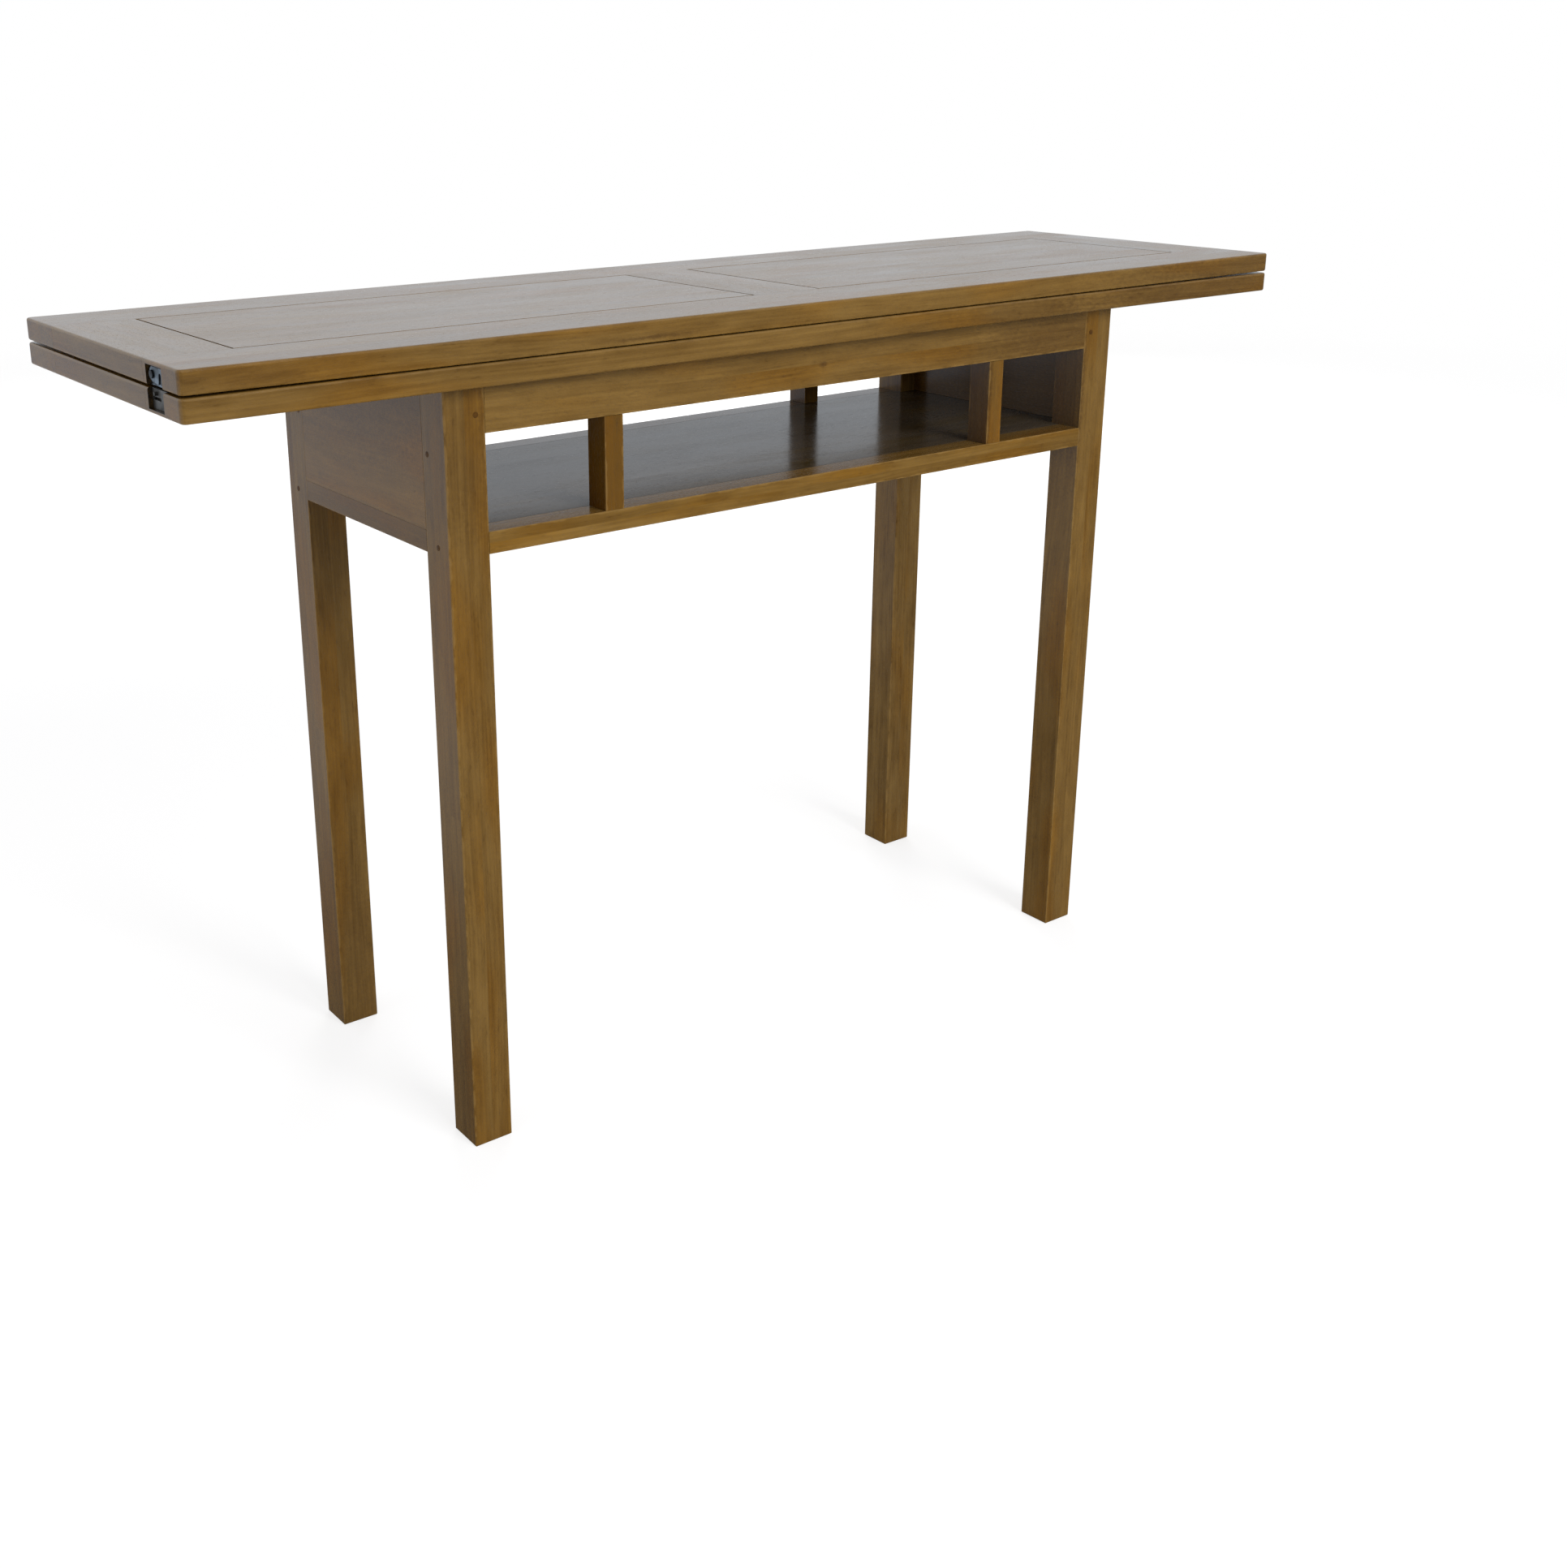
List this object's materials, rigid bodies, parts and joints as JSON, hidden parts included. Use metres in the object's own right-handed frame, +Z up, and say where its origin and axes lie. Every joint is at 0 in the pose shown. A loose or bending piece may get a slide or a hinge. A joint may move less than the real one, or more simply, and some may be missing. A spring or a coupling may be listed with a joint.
{
  "type": "extendable console table",
  "caption": "Slim wooden console table with an open shelf; its folded top slides forward on hidden guides and opens out on link hinges into a table of dining depth.",
  "frame": {"origin": "on the floor under the middle of the closed table", "axes": "+X along the top, to the right of someone in front; +Y to the hinged back edge; +Z up"},
  "size_m": [1.3, 0.37, 0.7773],
  "materials": {
    "frame_wood": "golden brown stain under satin lacquer",
    "top_wood": "golden brown stain under satin lacquer",
    "panel_wood": "golden brown stain under satin lacquer",
    "shelf_wood": "golden brown stain under satin lacquer",
    "guide_wood": "bare planed hardwood",
    "hinge_brass": "browned brass, worn brighter at the edges",
    "catch_steel": "blued steel"
  },
  "bodies": {
    "base": {"leg_front_left": "frame_wood", "leg_front_right": "frame_wood", "leg_back_left": "frame_wood", "leg_back_right": "frame_wood", "top_rail_front": "frame_wood", "top_rail_back": "frame_wood", "shelf_rail_front": "frame_wood", "shelf_rail_back": "frame_wood", "end_panel_left": "frame_wood", "end_panel_right": "frame_wood", "end_rail_left": "frame_wood", "end_rail_right": "frame_wood", "post_front_left": "frame_wood", "post_front_right": "frame_wood", "post_back_left": "frame_wood", "post_back_right": "frame_wood", "shelf": "shelf_wood", "slide_guide_left": "guide_wood", "slide_guide_right": "guide_wood"},
    "lower_leaf": {"lower_leaf_front_rail": "top_wood", "lower_leaf_back_rail": "top_wood", "lower_leaf_left_stile": "top_wood", "lower_leaf_centre_stile": "top_wood", "lower_leaf_right_stile": "top_wood", "lower_leaf_left_panel": "panel_wood", "lower_leaf_right_panel": "panel_wood", "slide_shoe_left": "guide_wood", "slide_shoe_right": "guide_wood", "hinge_left_lower_plate": "hinge_brass", "hinge_left_lower_pin": "hinge_brass", "hinge_centre_lower_plate": "hinge_brass", "hinge_centre_lower_pin": "hinge_brass", "hinge_right_lower_plate": "hinge_brass", "hinge_right_lower_pin": "hinge_brass", "catch_left_keeper": "catch_steel", "catch_right_keeper": "catch_steel"},
    "hinge_links": {"hinge_left_link": "hinge_brass", "hinge_centre_link": "hinge_brass", "hinge_right_link": "hinge_brass"},
    "upper_leaf": {"upper_leaf_front_rail": "top_wood", "upper_leaf_back_rail": "top_wood", "upper_leaf_left_stile": "top_wood", "upper_leaf_centre_stile": "top_wood", "upper_leaf_right_stile": "top_wood", "upper_leaf_left_panel": "panel_wood", "upper_leaf_right_panel": "panel_wood", "hinge_left_upper_plate": "hinge_brass", "hinge_left_upper_pin": "hinge_brass", "hinge_centre_upper_plate": "hinge_brass", "hinge_centre_upper_pin": "hinge_brass", "hinge_right_upper_plate": "hinge_brass", "hinge_right_upper_pin": "hinge_brass", "catch_left_plate": "catch_steel", "catch_left_rivet": "catch_steel", "catch_right_plate": "catch_steel", "catch_right_rivet": "catch_steel"},
    "left_hook": {"catch_left_hook": "catch_steel"},
    "right_hook": {"catch_right_hook": "catch_steel"}
  },
  "joints": [
    {"name": "top_slide", "type": "slide", "parent": "base", "child": "lower_leaf", "axis": [0, -1, 0], "range_m": [0, 0.205]},
    {"name": "link_swing", "type": "hinge", "parent": "lower_leaf", "child": "hinge_links", "pos_m": [0, 0.1814, 0.7521], "axis": [-1, 0, 0], "range_deg": [0, 90]},
    {"name": "leaf_fold", "type": "hinge", "parent": "hinge_links", "child": "upper_leaf", "pos_m": [0, 0.1814, 0.7605], "axis": [-1, 0, 0], "range_deg": [0, 90]},
    {"name": "left_hook_swing", "type": "hinge", "parent": "upper_leaf", "child": "left_hook", "pos_m": [-0.6474, -0.1265, 0.7668], "axis": [1, 0, 0], "range_deg": [0, 90]},
    {"name": "right_hook_swing", "type": "hinge", "parent": "upper_leaf", "child": "right_hook", "pos_m": [0.6474, -0.1265, 0.7668], "axis": [1, 0, 0], "range_deg": [0, 90]}
  ],
  "couplings": [
    {"joint": "link_swing", "follows": "leaf_fold", "ratio": 1}
  ]
}
